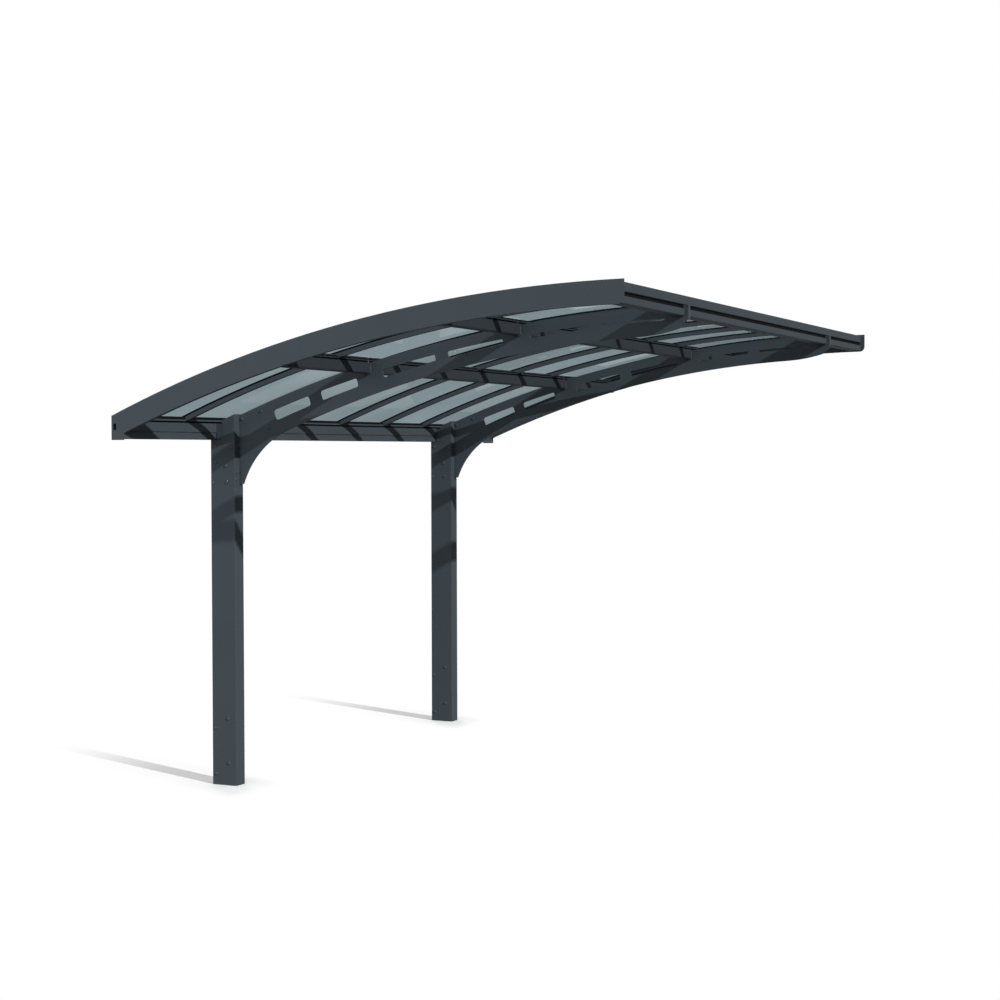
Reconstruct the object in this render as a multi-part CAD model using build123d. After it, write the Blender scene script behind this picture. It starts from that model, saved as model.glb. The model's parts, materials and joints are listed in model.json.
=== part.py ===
from build123d import *
from math import asin, cos, degrees, radians, sin, sqrt
import os

# A single-side cantilever carport with an arched roof.
# Frame: +X runs from the low gutter side to the high free side, +Y from the near post to the
# far one, +Z up. The origin is the middle of the near post's foot, on the ground.

# overall
ROOF_LENGTH = 5000.0        # along Y, over both rims
ROOF_RUN = 3164.0           # along X, from the gutter's outer wall to the rims' high ends
CLEAR_HEIGHT = 2152.0       # ground to the gutter's underside
POST_SPACING = 3010.0       # centre to centre
ARCH_RADIUS = 8170.0        # rims' top edge
APEX_PAST_RIM = 50.0        # the arch would peak this far past the rims' high ends
FIT = 0.3                   # clearance between pieces that seat on each other

# posts and feet
POST_X = 175.0
POST_Y = 95.0
POST_WALL = 3.0
POST_CORNER = 3.0
POST_HEIGHT = 1873.0
FOOT_PLATE = 10.0
FOOT_WALL = 4.0
FOOT_HEIGHT = 440.0
SLEEVE_CORNER = 1.0         # feet and spigots inside the posts
FOOT_HOLE_X = 110.0         # spacing of the four ground bolts
FOOT_HOLE_Y = 44.0
FOOT_HOLE_DIA = 14.0

# fork-shaped head on each post
HEAD_WALL = 4.0
HEAD_FLOOR = 4.0
SPIGOT_DROP = 150.0
POCKET_FROM_FRONT = 55.0    # near face of the post to the girder's pocket
HEAD_PAST_GUTTER = 41.0     # from the gutter's inner face to the head's notch
HEAD_DROP = 62.0            # rims' top edge down to the heads' top

# girders
GIRDER_PLATE = 10.0
ROOF_DROP = 56.0            # rims' top edge down to what carries the bars
GIRDER_DROP = 68.0          # rims' top edge down to the girders' top edge
GIRDER_X_FROM_GUTTER = 3.0
LOWER_EDGE = ((560.0, 281.0), (1640.0, 243.0), (2860.0, 224.0))  # run from low end, depth
HAUNCH_TOE = 28.0           # toe of the haunch past the post's face
TIP_REACH = 21.0            # plate in front of the eave beam
TIP_DROP = 13.0             # its end runs down this far past the beam's underside
TIP_CUT_X = 52.0            # slanted cut under it
TIP_CUT_Z = 54.0
TIP_FLANGE = 30.0           # width of the flange on the plate's end
TIP_FLANGE_THICK = 4.0
HOOK_DEPTH = 12.0
SLOT_TOP = 130.0            # depth of the slots' top edge below the rims' top edge
SLOT_FOOT_LOW = 197.0       # depth of their bottom edge at the low end
SLOT_FOOT_HIGH = 139.0      # and at the high end
SLOT_GAP = 85.0             # web between the two slots of a bay
SLOT_BEFORE_PURLIN = 110.0  # run from the end of a slot up to the next purlin's centre
SLOT_PAST_PURLIN = 67.0     # and from there to the start of the next slot
SLOT_ROUND = 0.28           # corner radius as a share of the slot's height
FIRST_SLOT_RUN = 422.0      # run from the low end to the first slot
LAST_SLOT_BACK = 151.0      # run from the rims' high ends back to the last slot

# purlins, plumb, at these runs from the low end
PURLIN_RUNS = (1130.0, 2114.0)
PURLIN_WIDTH = 50.0
PURLIN_HEIGHT = 68.0
PURLIN_WALL = 2.5
PURLIN_ROUND = 14.0
CLEAT_WALL = 3.0
CLEAT_LENGTH = 18.0
CLEAT_DROP = 12.0           # cleat's top below the purlin's top

# seat rail on the gutter and on each purlin, which closes the gap under the sheets
RAIL_SETBACK = 20.0
RAIL_WEB = 3.0
GUTTER_RIB_FROM = 11.0      # height of the rib over the gutter, and its thickness
GUTTER_RIB = 10.0
PURLIN_RIB_FROM = 9.0       # the same over a purlin
PURLIN_RIB = 6.0

# gutter
GUTTER_WIDTH = 88.0
GUTTER_OUT = 46.0           # gutter's outer wall out past the posts' outer face
GUTTER_WALL = 3.0
GUTTER_FOLD_HEIGHT = 46.0
GUTTER_FOLD = 6.0
GUTTER_LIP = 12.0
ANGLE_THICK = 4.0           # channel bracket between the gutter and each girder
ANGLE_HEIGHT = 97.0
ANGLE_UP = 2.0              # above the gutter's underside
ANGLE_SET_IN = 1.5          # in from the near face of the post

# rims
RIM_DEPTH = 126.0
RIM_WALL = 3.0
RIM_FLANGE = 30.0
RIM_END_RADIUS = 35.0
RIM_LOW_HEIGHT = 140.0      # of the plumb low end
RIM_BELOW_GUTTER = 6.0
RIM_GUTTER_GAP = 6.0        # room left over the gutter by the rims' flanges
OVERFLOW_X = 21.0
OVERFLOW_Z = 36.0
OVERFLOW_IN = 12.0          # in from the rim's low end
OVERFLOW_UP = 52.0          # above the gutter's underside

# eave beam
EAVE_BACK = 27.0            # its outer face back from the rims' high ends
EAVE_WIDTH = 80.0
EAVE_TOP_DROP = 10.0        # below the rims' top edge
EAVE_WALL = 3.0
EAVE_GROOVE = 22.0
EAVE_GROOVE_DEEP = 45.0
EAVE_GROOVE_DROP = 50.0     # beam's top down to the groove
EAVE_LIP_ROUND = 6.0        # upper lip of the groove
EAVE_ROUND = 8.0
SHEET_POCKET = 20.0
SHEET_EXPANSION = 5.0       # room left for the sheets in their pocket

# sheets and glazing bars
SHEET_COUNT = 8
SHEET_DEPTH = 24.0          # rims' top edge down to the sheets' upper face
SHEET_THICK = 6.0
SHEET_SIDE = 1.0            # clearance beside a bar's web or a rim
SHEET_LOW_RUN = 36.0        # sheets and bars start this far in from the gutter's outer wall
BAR_WIDTH = 26.0
BAR_WALL = 2.0
BAR_WEB = 4.0
BAR_CAP = 40.0
BAR_CAP_THICK = 4.0

# worked out from the sizes above
LOW_X = -POST_X / 2 - GUTTER_OUT
HIGH_X = LOW_X + ROOF_RUN
APEX_X = HIGH_X + APEX_PAST_RIM
NEAR_Y = -(ROOF_LENGTH - POST_SPACING) / 2
FAR_Y = NEAR_Y + ROOF_LENGTH
PITCH = ROOF_LENGTH / SHEET_COUNT
POST_YS = {"near": 0.0, "far": POST_SPACING}
LOW_TOP = CLEAR_HEIGHT - RIM_BELOW_GUTTER + RIM_LOW_HEIGHT
ARCH_Z = LOW_TOP - sqrt(ARCH_RADIUS**2 - (APEX_X - LOW_X) ** 2)
ARCH_AXIS = Axis((APEX_X, 0, ARCH_Z), (0, 1, 0))
GUTTER_IN = LOW_X + GUTTER_WIDTH
EAVE_OUT = HIGH_X - EAVE_BACK
EAVE_IN = EAVE_OUT - EAVE_WIDTH
SHEET_FOOT = SHEET_DEPTH + SHEET_THICK
PURLIN_DROP = ROOF_DROP + FIT
GIRDER_NEAR = POCKET_FROM_FRONT - POST_Y / 2        # girder's near face, from the post's centre
GIRDER_FAR = GIRDER_NEAR + GIRDER_PLATE


def arch_z(x, depth=0.0):
    """Height of the arch at x, a given depth below the rims' top edge."""
    return ARCH_Z + sqrt((ARCH_RADIUS - depth) ** 2 - (APEX_X - x) ** 2)


def arch_angle(x, depth=0.0):
    """Angle in degrees from the apex down to x."""
    return degrees(asin((APEX_X - x) / (ARCH_RADIUS - depth)))


def arch_point(angle, depth):
    """Point (x, z) at an angle from the apex and a depth below the rims' top edge."""
    reach = ARCH_RADIUS - depth
    return APEX_X - reach * sin(radians(angle)), ARCH_Z + reach * cos(radians(angle))


def box(x0, x1, y0, y1, z0, z1):
    """Box between two corners."""
    return Pos((x0 + x1) / 2, (y0 + y1) / 2, (z0 + z1) / 2) * Box(x1 - x0, y1 - y0, z1 - z0)


def radial_face(y0, y1, shallow, deep):
    """Rectangle of a section through the arch, between two depths."""
    plane = Plane((APEX_X, 0, ARCH_Z), x_dir=(0, 1, 0), z_dir=(1, 0, 0))
    middle = ARCH_RADIUS - (shallow + deep) / 2
    return plane * (Pos((y0 + y1) / 2, middle) * Rectangle(y1 - y0, deep - shallow))


def sweep_arch(section, x0, x1, depth):
    """Revolve a section along the arch from x0 to x1, measured at a depth."""
    low = arch_angle(x0, depth)
    high = arch_angle(x1, depth)
    start = section.rotate(ARCH_AXIS, -low)
    return revolve(start, ARCH_AXIS, low - high)


def upright(outline, y0, y1):
    """Extrude a closed outline of the X-Z plane from y0 to y1."""
    return extrude(make_face(outline), y1 - y0, dir=(0, 1, 0)).moved(Pos(0, y0, 0))


def station(x):
    """Upright plane in the middle of the flat top of the purlin at x."""
    top = arch_z(x - PURLIN_WIDTH / 2, PURLIN_DROP)
    return Plane((x, 0, top), x_dir=(1, 0, 0), z_dir=(0, -1, 0))


def arch_disc(depth, y0, y1):
    """Solid under the arch, a given depth below the rims' top edge."""
    disc = Rot(90, 0, 0) * Cylinder(ARCH_RADIUS - depth, y1 - y0)
    return Pos(APEX_X, (y0 + y1) / 2, ARCH_Z) * disc


def bar_ys():
    """Centres of the glazing bars along Y."""
    return [NEAR_Y + PITCH * k for k in range(1, SHEET_COUNT)]


# Posts, feet and heads

def tube(width, depth, wall, height, corner):
    """Rectangular tube standing on z = 0."""
    outer = RectangleRounded(width, depth, corner)
    inner = RectangleRounded(width - 2 * wall, depth - 2 * wall, max(corner - wall, 0.5))
    return extrude(outer - inner, height)


def make_post(y):
    """Hollow post, from the ground to its head."""
    return Pos(0, y, 0) * tube(POST_X, POST_Y, POST_WALL, POST_HEIGHT, POST_CORNER)


def make_foot(y):
    """Anchor foot inside the post: a drilled plate on the ground with a square sleeve."""
    width = POST_X - 2 * (POST_WALL + FIT)
    depth = POST_Y - 2 * (POST_WALL + FIT)
    plate = extrude(RectangleRounded(width, depth, SLEEVE_CORNER), FOOT_PLATE)
    sleeve = tube(width, depth, FOOT_WALL, FOOT_HEIGHT, SLEEVE_CORNER)
    foot = plate + sleeve
    for place in GridLocations(FOOT_HOLE_X, FOOT_HOLE_Y, 2, 2):
        foot -= place * Cylinder(FOOT_HOLE_DIA / 2, 3 * FOOT_PLATE)
    return Pos(0, y, 0) * foot


def make_head(y):
    """Fork on the post: two hollow cheeks with the girder's pocket between them."""
    top = arch_z(POST_X / 2)
    height = top - POST_HEIGHT
    outer = RectangleRounded(POST_X, POST_Y, POST_CORNER)
    inner_x = POST_X - 2 * HEAD_WALL
    front = -POST_Y / 2
    pocket0 = GIRDER_NEAR - FIT
    pocket1 = GIRDER_FAR + FIT
    chambers = [(front + HEAD_WALL, pocket0 - HEAD_WALL),
                (pocket1 + HEAD_WALL, POST_Y / 2 - HEAD_WALL)]
    section = outer
    for y0, y1 in chambers:
        section -= Pos(0, (y0 + y1) / 2) * Rectangle(inner_x, y1 - y0)
    body = extrude(section, height)
    pocket = box(-POST_X / 2 + HEAD_WALL, POST_X, pocket0, pocket1, HEAD_FLOOR, height + 1)
    body -= pocket
    body += extrude(outer, HEAD_FLOOR)
    spigot_x = POST_X - 2 * (POST_WALL + FIT)
    spigot_y = POST_Y - 2 * (POST_WALL + FIT)
    spigot = tube(spigot_x, spigot_y, HEAD_WALL, SPIGOT_DROP, SLEEVE_CORNER)
    body += Pos(0, 0, -SPIGOT_DROP) * spigot
    body = Pos(0, 0, POST_HEIGHT) * body
    notch_x = GUTTER_IN + HEAD_PAST_GUTTER
    body -= box(-POST_X, notch_x, -POST_Y, POST_Y, CLEAR_HEIGHT - FIT, top + 1)
    body &= arch_disc(HEAD_DROP, -POST_Y, POST_Y)
    return Pos(0, y, 0) * body


# Girders

def slot_angles():
    """Start and end angle of each slot: two slots to a bay, clear of the purlins."""
    ends = [LOW_X + FIRST_SLOT_RUN]
    for run in PURLIN_RUNS:
        ends += [LOW_X + run - SLOT_BEFORE_PURLIN, LOW_X + run + SLOT_PAST_PURLIN]
    ends.append(HIGH_X - LAST_SLOT_BACK)
    angles = []
    for x0, x1 in zip(ends[0::2], ends[1::2]):
        low = arch_angle(x0)
        high = arch_angle(x1)
        gap = degrees(SLOT_GAP / ARCH_RADIUS)
        length = (low - high - gap) / 2
        angles.append((low, low - length))
        angles.append((high + length, high))
    return angles


def slot_foot(angle):
    """Depth of the slots' bottom edge, which closes on the top edge toward the tip."""
    low = arch_angle(LOW_X + FIRST_SLOT_RUN)
    high = arch_angle(HIGH_X - LAST_SLOT_BACK)
    share = (low - angle) / (low - high)
    return SLOT_FOOT_LOW + share * (SLOT_FOOT_HIGH - SLOT_FOOT_LOW)


def slot_cutter(low, high):
    """Long opening between two angles, with curved edges and rounded corners."""
    middle = (low + high) / 2

    def at(angle, depth):
        x, z = arch_point(angle, depth)
        return x, 0, z

    top = ThreePointArc(at(low, SLOT_TOP), at(middle, SLOT_TOP), at(high, SLOT_TOP))
    foot = ThreePointArc(at(low, slot_foot(low)), at(middle, slot_foot(middle)),
                         at(high, slot_foot(high)))
    sides = [Line(top @ 0, foot @ 0), Line(top @ 1, foot @ 1)]
    cutter = upright([top, foot] + sides, -POST_Y, POST_Y)
    height = slot_foot(high) - SLOT_TOP
    corners = cutter.edges().filter_by(Axis.Y)
    return fillet(corners, SLOT_ROUND * height)


def make_girder(y):
    """Curved plate from the post's head to the hook in the eave beam's groove."""
    root_x = -POST_X / 2 + HEAD_WALL + FIT
    root_z = POST_HEIGHT + HEAD_FLOOR + FIT
    shelf_z = CLEAR_HEIGHT - FIT
    notch_x = GUTTER_IN + GIRDER_X_FROM_GUTTER
    toe_x = POST_X / 2 + HAUNCH_TOE
    beam_in = EAVE_IN - FIT
    beam_foot = eave_foot() - FIT
    hook_x = EAVE_OUT + FIT
    groove_foot = eave_top() - EAVE_GROOVE_DROP - EAVE_GROOVE + FIT
    groove_top = groove_foot + EAVE_GROOVE - 2 * FIT
    tip_x = EAVE_OUT + TIP_REACH
    tip_z = beam_foot - TIP_DROP

    lower = []
    for run, depth in LOWER_EDGE:
        x = LOW_X + run
        lower.append((x, 0, arch_z(x, depth)))
    top_low = (notch_x, 0, arch_z(notch_x, GIRDER_DROP))
    top_mid_x = (notch_x + beam_in) / 2
    top_high = (beam_in, 0, arch_z(beam_in, GIRDER_DROP))
    top_edge = ThreePointArc(top_low, (top_mid_x, 0, arch_z(top_mid_x, GIRDER_DROP)), top_high)
    lower_edge = ThreePointArc(*lower)
    haunch_top = lower_edge @ 0
    haunch = TangentArc(haunch_top, (toe_x, 0, root_z), tangent=-(lower_edge % 0))
    stops = [(toe_x, root_z), (root_x, root_z), (root_x, shelf_z), (notch_x, shelf_z),
             (notch_x, top_low[2])]
    root = Polyline(*[(x, 0, z) for x, z in stops])
    hook = Polyline(top_high, (beam_in, 0, beam_foot), (hook_x, 0, beam_foot),
                    (hook_x, 0, groove_foot), (hook_x - HOOK_DEPTH, 0, groove_foot),
                    (hook_x - HOOK_DEPTH, 0, groove_top), (tip_x, 0, groove_top),
                    (tip_x, 0, tip_z), (tip_x - TIP_CUT_X, 0, tip_z - TIP_CUT_Z))
    belly = TangentArc(lower_edge @ 1, hook @ 1, tangent=lower_edge % 1)
    outline = [top_edge, hook, belly, lower_edge, haunch, root]
    plate = upright(outline, GIRDER_NEAR, GIRDER_FAR)
    plate += box(tip_x - TIP_FLANGE_THICK, tip_x, GIRDER_NEAR, GIRDER_NEAR + TIP_FLANGE,
                 tip_z, groove_top)
    for low, high in slot_angles():
        plate -= slot_cutter(low, high)
    return Pos(0, y, 0) * plate


# Gutter

def gutter_rail(z_foot, y0, y1):
    """Set-back web with a small rib, from the gutter's inner wall up to the sheets."""
    web_out = GUTTER_IN - RAIL_SETBACK
    web_in = web_out - RAIL_WEB
    rib_z = z_foot + GUTTER_RIB_FROM
    rail = box(web_in, web_out, y0, y1, z_foot - GUTTER_WALL, z_foot + ROOF_DROP)
    rail += box(web_in, GUTTER_IN, y0, y1, rib_z, rib_z + GUTTER_RIB)
    rail &= arch_disc(SHEET_FOOT + FIT, y0, y1)
    half = BAR_WIDTH / 2 + FIT
    for y in bar_ys():
        rail -= box(web_in - 1, GUTTER_IN + 1, y - half, y + half, z_foot, z_foot + ROOF_DROP)
    return rail


def make_gutter():
    """Open box gutter, folded along its inner wall, with a seat rail for the sheets."""
    top = arch_z(GUTTER_IN - RAIL_SETBACK - RAIL_WEB, ROOF_DROP) - FIT
    y0 = NEAR_Y + RIM_WALL + FIT
    y1 = FAR_Y - RIM_WALL - FIT
    floor = CLEAR_HEIGHT
    wall = GUTTER_WALL
    fold_z = floor + GUTTER_FOLD_HEIGHT
    points = [(LOW_X, floor), (GUTTER_IN - GUTTER_FOLD, floor), (GUTTER_IN - GUTTER_FOLD, fold_z),
              (GUTTER_IN, fold_z), (GUTTER_IN, top), (GUTTER_IN - RAIL_SETBACK - RAIL_WEB, top),
              (GUTTER_IN - RAIL_SETBACK - RAIL_WEB, top - wall), (GUTTER_IN - wall, top - wall),
              (GUTTER_IN - wall, fold_z + wall), (GUTTER_IN - GUTTER_FOLD - wall, fold_z + wall),
              (GUTTER_IN - GUTTER_FOLD - wall, floor + wall), (LOW_X + wall, floor + wall),
              (LOW_X + wall, top - wall), (LOW_X + GUTTER_LIP, top - wall),
              (LOW_X + GUTTER_LIP, top), (LOW_X, top)]
    outline = Polyline(*[(x, 0, z) for x, z in points], close=True)
    body = upright(outline, y0, y1)
    return body + gutter_rail(top, y0 + RIM_FLANGE, y1 - RIM_FLANGE)


def make_gutter_end(y, outward):
    """Small plate that closes the gutter's end below the rim."""
    y0, y1 = sorted((y, y - outward * RIM_WALL))
    foot = CLEAR_HEIGHT - RIM_BELOW_GUTTER
    plate = box(LOW_X, GUTTER_IN, y0, y1, foot, arch_z(GUTTER_IN, RIM_DEPTH))
    return plate & arch_disc(RIM_DEPTH + FIT, y0 - 1, y1 + 1)


def make_gutter_angle(y):
    """Channel bracket in the head's notch, between the gutter and the girder's near face."""
    x0 = GUTTER_IN + FIT
    x1 = GUTTER_IN + HEAD_PAST_GUTTER - FIT
    y0 = y - POST_Y / 2 + ANGLE_SET_IN
    y1 = y + GIRDER_NEAR - FIT
    z0 = CLEAR_HEIGHT + ANGLE_UP
    z1 = z0 + ANGLE_HEIGHT
    outer = box(x0, x1, y0, y1, z0, z1)
    return outer - box(x0 + ANGLE_THICK, x1 + 1, y0 + ANGLE_THICK, y1 - ANGLE_THICK,
                       z0 - 1, z1 + 1)


# Purlins

def purlin_section(grow=0.0):
    """Outline of a purlin in its own plane, grown by a clearance."""
    width = PURLIN_WIDTH + 2 * grow
    height = PURLIN_HEIGHT + 2 * grow
    outline = Pos(0, -PURLIN_HEIGHT / 2) * Rectangle(width, height)
    low_corners = outline.vertices().sort_by(Axis.Y)[:2]
    return fillet(low_corners, PURLIN_ROUND)


def make_purlin(x, y0, y1):
    """One length of purlin: a hollow rounded box with a seat rail on top."""
    plane = station(x)
    hollow = Pos(0, -PURLIN_HEIGHT / 2) * RectangleRounded(
        PURLIN_WIDTH - 2 * PURLIN_WALL, PURLIN_HEIGHT - 2 * PURLIN_WALL,
        PURLIN_ROUND - PURLIN_WALL)
    section = plane * (purlin_section() - hollow)
    body = extrude(section, y1 - y0, dir=(0, 1, 0)).moved(Pos(0, y0, 0))
    return body + purlin_rail(x, y0, y1)


def purlin_rail(x, y0, y1):
    """Web with a small rib from a purlin's top to just under the sheets, open at the bars."""
    edge = x + PURLIN_WIDTH / 2
    web_out = edge - RAIL_SETBACK
    web_in = web_out - RAIL_WEB
    top = arch_z(x - PURLIN_WIDTH / 2, PURLIN_DROP)
    rib_z = top + PURLIN_RIB_FROM
    above = arch_z(edge)
    rail = box(web_in, web_out, y0, y1, top - PURLIN_WALL, above)
    rail += box(web_in, edge, y0, y1, rib_z, rib_z + PURLIN_RIB)
    rail &= arch_disc(SHEET_FOOT + RIM_WALL + 2 * FIT, y0, y1)
    half = BAR_WIDTH / 2 + FIT
    for y in bar_ys():
        if y0 - BAR_WIDTH < y < y1 + BAR_WIDTH:
            rail -= box(web_in - 1, edge + 1, y - half, y + half, top, above)
    return rail


def make_cleat(x, y_face, side):
    """U-shaped saddle on the girder's face that carries a purlin's end."""
    plane = station(x)
    outer = purlin_section(CLEAT_WALL + FIT)
    inner = purlin_section(FIT)
    saddle = outer - inner
    saddle -= Rectangle(4 * PURLIN_WIDTH, 2 * CLEAT_DROP)
    y0, y1 = sorted((y_face, y_face + side * CLEAT_LENGTH))
    return extrude(plane * saddle, y1 - y0, dir=(0, 1, 0)).moved(Pos(0, y0, 0))


# Eave beam and rims

def eave_top():
    """Height of the eave beam's top."""
    return arch_z(EAVE_OUT) - EAVE_TOP_DROP


def eave_foot():
    """Height of the eave beam's underside, just above the rims' lower flange."""
    return arch_z(EAVE_OUT, RIM_DEPTH - RIM_WALL) + FIT


def make_eave():
    """Hollow eave beam with the long groove that the girders hook into."""
    y0 = NEAR_Y + RIM_WALL + FIT
    y1 = FAR_Y - RIM_WALL - FIT
    top = eave_top()
    foot = eave_foot()
    height = top - foot
    plane = Plane((0, 0, 0), x_dir=(1, 0, 0), z_dir=(0, -1, 0))
    outer = Pos((EAVE_IN + EAVE_OUT) / 2, (top + foot) / 2) * Rectangle(EAVE_WIDTH, height)
    outer = fillet(outer.vertices().sort_by(Axis.Y)[:2], EAVE_ROUND)
    groove_top = top - EAVE_GROOVE_DROP
    groove_mid = groove_top - EAVE_GROOVE / 2
    outer -= Pos(EAVE_OUT, groove_mid) * Rectangle(2 * EAVE_GROOVE_DEEP, EAVE_GROOVE)
    lips = outer.vertices().group_by(Axis.X)[-1].sort_by(Axis.Y)
    outer = fillet(lips[-2], EAVE_LIP_ROUND)
    hollow = Pos((EAVE_IN + EAVE_OUT) / 2, (top + foot) / 2) * RectangleRounded(
        EAVE_WIDTH - 2 * EAVE_WALL, height - 2 * EAVE_WALL, EAVE_ROUND - EAVE_WALL)
    hollow -= Pos(EAVE_OUT, groove_mid) * Rectangle(
        2 * (EAVE_GROOVE_DEEP + EAVE_WALL), EAVE_GROOVE + 2 * EAVE_WALL)
    pocket_foot = arch_z(EAVE_IN + SHEET_POCKET, SHEET_FOOT)
    hollow -= Pos(EAVE_IN, pocket_foot) * Rectangle(
        2 * (SHEET_POCKET + EAVE_WALL), SHEET_THICK + 4 * EAVE_WALL)
    section = plane * (outer - hollow)
    beam = extrude(section, y1 - y0, dir=(0, 1, 0)).moved(Pos(0, y0, 0))
    pocket = radial_face(y0 - 1, y1 + 1, SHEET_DEPTH - FIT, SHEET_FOOT + FIT)
    beam -= sweep_arch(pocket, EAVE_IN - SHEET_POCKET, EAVE_IN + SHEET_POCKET, SHEET_FOOT)
    return beam


def make_rim(y, outward):
    """Deep curved fascia: an outer web with two inner flanges, plumb at its low end."""
    web_in = y - outward * RIM_WALL
    flange_in = y - outward * (RIM_WALL + RIM_FLANGE)
    web_y = sorted((y, web_in))
    leg_y = sorted((y, flange_in))
    section = radial_face(web_y[0], web_y[1], 0.0, RIM_DEPTH)
    section += radial_face(leg_y[0], leg_y[1], SHEET_FOOT + FIT, SHEET_FOOT + FIT + RIM_WALL)
    section += radial_face(leg_y[0], leg_y[1], RIM_DEPTH - RIM_WALL, RIM_DEPTH)
    rim = sweep_arch(section, LOW_X - RIM_DEPTH / 2, HIGH_X, 0.0)
    foot = CLEAR_HEIGHT - RIM_DEPTH
    above = arch_z(HIGH_X) + RIM_DEPTH
    rim &= box(LOW_X, HIGH_X, NEAR_Y - 1, FAR_Y + 1, foot, above)
    inside = sorted((web_in, flange_in - outward))
    rim -= box(LOW_X - 1, GUTTER_IN + FIT, inside[0], inside[1], foot, gutter_clear_top())
    rim -= box(EAVE_IN - FIT, HIGH_X + 1, inside[0], inside[1],
               eave_foot() - FIT / 2, above)
    for run in PURLIN_RUNS:
        cut = extrude(station(LOW_X + run) * purlin_section(FIT), inside[1] - inside[0],
                      dir=(0, 1, 0))
        rim -= cut.moved(Pos(0, inside[0], 0))
    corner_z = arch_z(HIGH_X, RIM_DEPTH)
    corner = box(HIGH_X - RIM_END_RADIUS, HIGH_X + 1, leg_y[0] - 1, leg_y[1] + 1,
                 corner_z - RIM_WALL, corner_z + RIM_END_RADIUS)
    corner -= Pos(HIGH_X - RIM_END_RADIUS, y, corner_z + RIM_END_RADIUS) * (
        Rot(90, 0, 0) * Cylinder(RIM_END_RADIUS, 4 * RIM_FLANGE))
    rim -= corner
    slot_x = LOW_X + OVERFLOW_IN + OVERFLOW_X / 2
    slot_z = CLEAR_HEIGHT + OVERFLOW_UP + OVERFLOW_Z / 2
    rim -= Pos(slot_x, y, slot_z) * Box(OVERFLOW_X, 4 * RIM_WALL, OVERFLOW_Z)
    return rim


def gutter_clear_top():
    """Height up to which the rims' flanges leave room for the gutter."""
    return arch_z(GUTTER_IN, SHEET_FOOT) + RIM_GUTTER_GAP


# Sheets and glazing bars

def make_bar(y):
    """Curved glazing bar: hollow foot, thin web and pressure cap in one section."""
    half = BAR_WIDTH / 2
    foot = radial_face(y - half, y + half, SHEET_FOOT + FIT, ROOF_DROP)
    foot -= radial_face(y - half + BAR_WALL, y + half - BAR_WALL,
                        SHEET_FOOT + FIT + BAR_WALL, ROOF_DROP - BAR_WALL)
    web = radial_face(y - BAR_WEB / 2, y + BAR_WEB / 2, SHEET_DEPTH - FIT - 1, SHEET_FOOT + 1)
    cap_top = SHEET_DEPTH - FIT - BAR_CAP_THICK
    cap = radial_face(y - BAR_CAP / 2, y + BAR_CAP / 2, cap_top, SHEET_DEPTH - FIT)
    section = foot + web + cap
    return sweep_arch(section, LOW_X + SHEET_LOW_RUN, EAVE_IN - FIT, ROOF_DROP)


def make_sheet(index):
    """Curved clear sheet between two bars, or between a bar and a rim."""
    y0 = NEAR_Y + PITCH * index + BAR_WEB / 2 + SHEET_SIDE
    y1 = NEAR_Y + PITCH * (index + 1) - BAR_WEB / 2 - SHEET_SIDE
    if index == 0:
        y0 = NEAR_Y + RIM_WALL + SHEET_SIDE
    if index == SHEET_COUNT - 1:
        y1 = FAR_Y - RIM_WALL - SHEET_SIDE
    section = radial_face(y0, y1, SHEET_DEPTH, SHEET_FOOT)
    high = EAVE_IN + SHEET_POCKET - SHEET_EXPANSION
    return sweep_arch(section, LOW_X + SHEET_LOW_RUN, high, SHEET_FOOT)


def purlin_spans():
    """The three lengths of each purlin: rim to girder, girder to girder, girder to rim."""
    near = POST_YS["near"]
    far = POST_YS["far"]
    return {"near": (NEAR_Y + RIM_WALL + FIT, near + GIRDER_NEAR - FIT),
            "middle": (near + GIRDER_FAR + FIT, far + GIRDER_NEAR - FIT),
            "far": (far + GIRDER_FAR + FIT, FAR_Y - RIM_WALL - FIT)}


def make_all():
    """Every node by name."""
    nodes = {}
    for side, y in POST_YS.items():
        nodes[side + "_post"] = make_post(y)
        nodes[side + "_foot"] = make_foot(y)
        nodes[side + "_post_head"] = make_head(y)
        nodes[side + "_girder"] = make_girder(y)
        cleats = []
        for run in PURLIN_RUNS:
            cleats.append(make_cleat(LOW_X + run, y + GIRDER_NEAR, -1))
            cleats.append(make_cleat(LOW_X + run, y + GIRDER_FAR, 1))
        nodes[side + "_purlin_cleats"] = Compound(children=cleats)
        nodes[side + "_gutter_angle"] = make_gutter_angle(y)
    nodes["gutter"] = make_gutter()
    nodes["eave_beam"] = make_eave()
    for side, y, outward in (("near", NEAR_Y, -1), ("far", FAR_Y, 1)):
        nodes[side + "_rim"] = make_rim(y, outward)
        nodes[side + "_gutter_end"] = make_gutter_end(y, outward)
    for name, run in zip(("lower", "upper"), PURLIN_RUNS):
        for side, (y0, y1) in purlin_spans().items():
            nodes[name + "_purlin_" + side] = make_purlin(LOW_X + run, y0, y1)
    for k, y in enumerate(bar_ys()):
        nodes["glazing_bar_" + str(k + 1)] = make_bar(y)
    for k in range(SHEET_COUNT):
        nodes["roof_sheet_" + str(k + 1)] = make_sheet(k)
    return nodes


def main():
    os.makedirs("parts", exist_ok=True)
    for name, shape in make_all().items():
        export_step(shape, "parts/" + name + ".step")


main()
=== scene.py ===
import json
import logging
import math
from dataclasses import dataclass
from enum import Enum

import bpy
from mathutils import Matrix, Vector

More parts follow.
